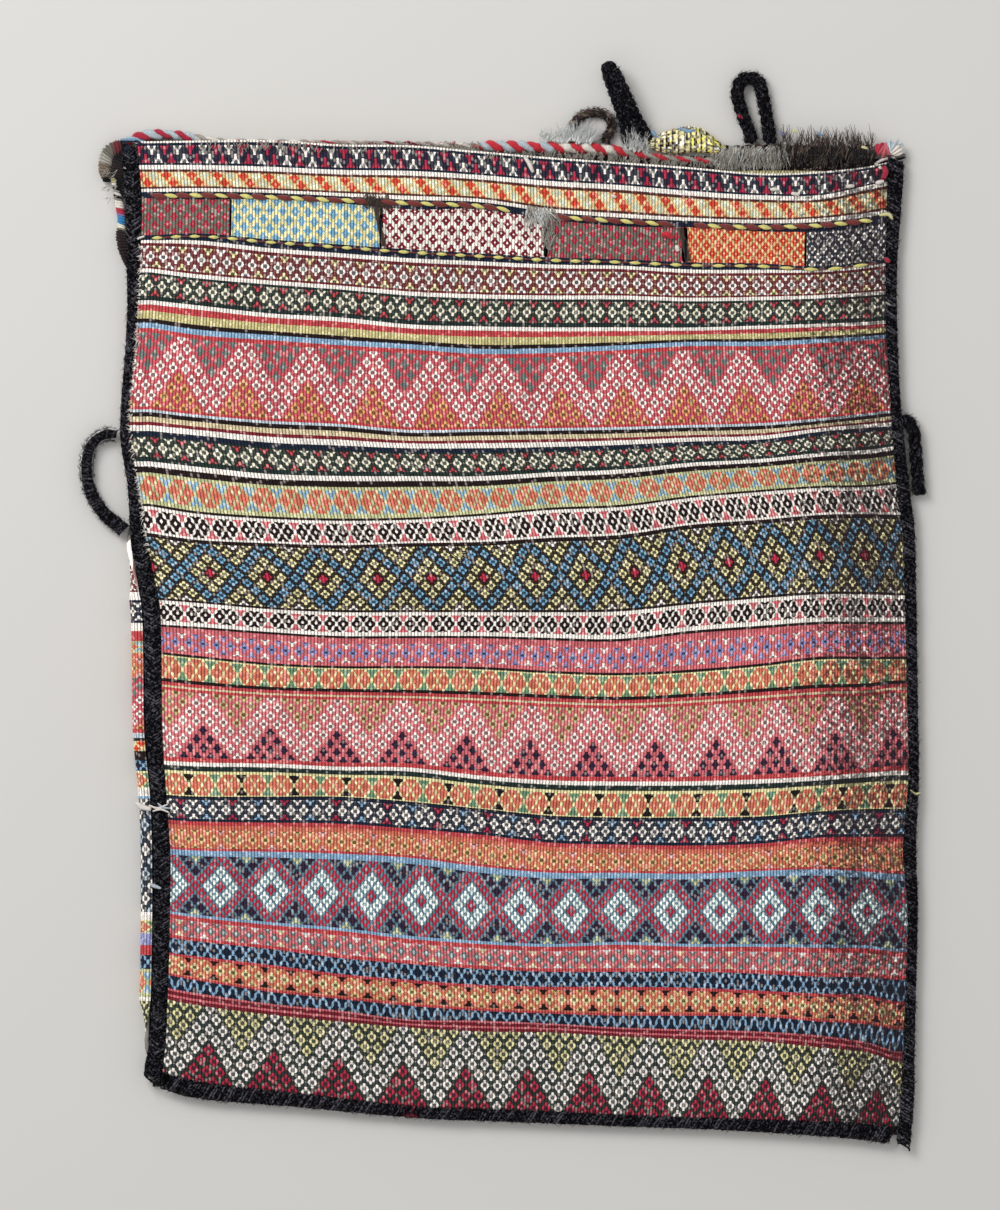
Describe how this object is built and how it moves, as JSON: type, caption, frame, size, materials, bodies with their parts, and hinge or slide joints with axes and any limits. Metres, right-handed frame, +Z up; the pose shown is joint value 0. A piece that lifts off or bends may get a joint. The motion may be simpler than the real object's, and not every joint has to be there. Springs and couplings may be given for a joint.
{
  "type": "woven storage bag",
  "caption": "Flat-woven wool storage bag with an open mouth, slit closure band, hair loops and dark hair bindings, lying empty on its back.",
  "frame": {"origin": "on the floor under the middle of the back panel", "axes": "+Y towards the bag's open mouth, +Z up out of the patterned front, +X to the bag's right as it is looked down on"},
  "size_m": [0.509, 0.6507, 0.0289],
  "materials": {
    "patterned_wool": "matte",
    "goat_hair": "matte",
    "brown_hair": "matte",
    "red_wool_cord": "matte",
    "yellow_wool": "matte"
  },
  "bodies": {
    "root": {"front_panel": "patterned_wool", "back_panel": "patterned_wool", "left_binding": "goat_hair", "right_binding": "goat_hair", "bottom_binding": "goat_hair", "back_rim_cord": "red_wool_cord", "left_corner_wrap": "red_wool_cord", "right_corner_wrap": "red_wool_cord", "rim_hair_fringe": "brown_hair", "back_rim_bulge": "yellow_wool", "small_brown_loop": "brown_hair", "left_closure_loop": "goat_hair", "right_closure_loop": "goat_hair", "left_carry_loop": "goat_hair", "right_carry_loop": "goat_hair", "slit_cord_1": "red_wool_cord", "slit_cord_2": "red_wool_cord", "slit_cord_3": "red_wool_cord", "slit_cord_4": "red_wool_cord", "slit_bar_1": "brown_hair", "slit_bar_2": "brown_hair", "running_stitch": "yellow_wool"}
  },
  "joints": []
}
